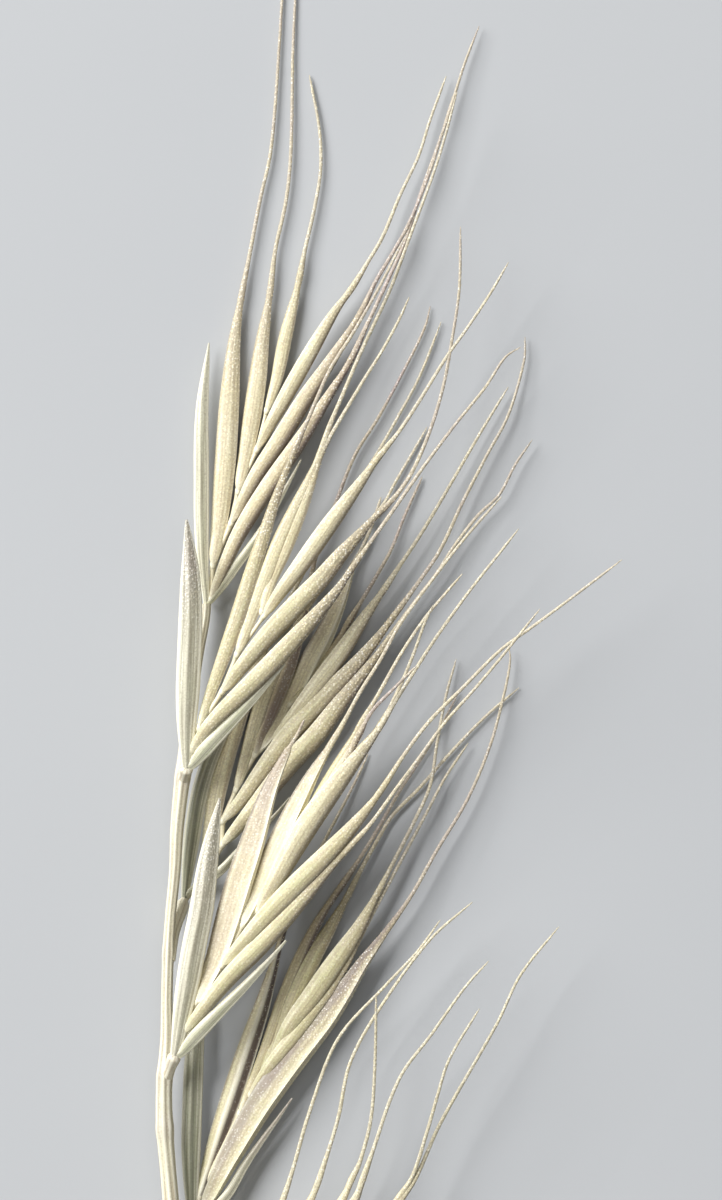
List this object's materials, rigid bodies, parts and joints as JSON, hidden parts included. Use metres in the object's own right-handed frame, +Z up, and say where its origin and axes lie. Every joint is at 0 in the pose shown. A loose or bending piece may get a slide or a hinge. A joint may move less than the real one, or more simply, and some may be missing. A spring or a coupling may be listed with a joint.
{
  "type": "grass seed head",
  "caption": "Dry one-sided fescue seed head lying flat: a thin stem with flattened spikelets of narrow florets that end in long fine awns, for plant scenes and dried bunches.",
  "frame": {"origin": "middle of the head's outline seen from above, on the surface that it lies on", "axes": "+Y along the head towards the tips of the topmost awns, +X to the side that the awns lean to, +Z up from the surface"},
  "size_m": [0.0116, 0.0422, 0.0026],
  "materials": {
    "stem": "satin",
    "spikelets": "satin"
  },
  "bodies": {
    "root": {"stem": "stem", "spikelet_1": "spikelets", "spikelet_2": "spikelets", "spikelet_3": "spikelets", "spikelet_4": "spikelets", "spikelet_5": "spikelets", "spikelet_6": "spikelets"}
  },
  "joints": []
}
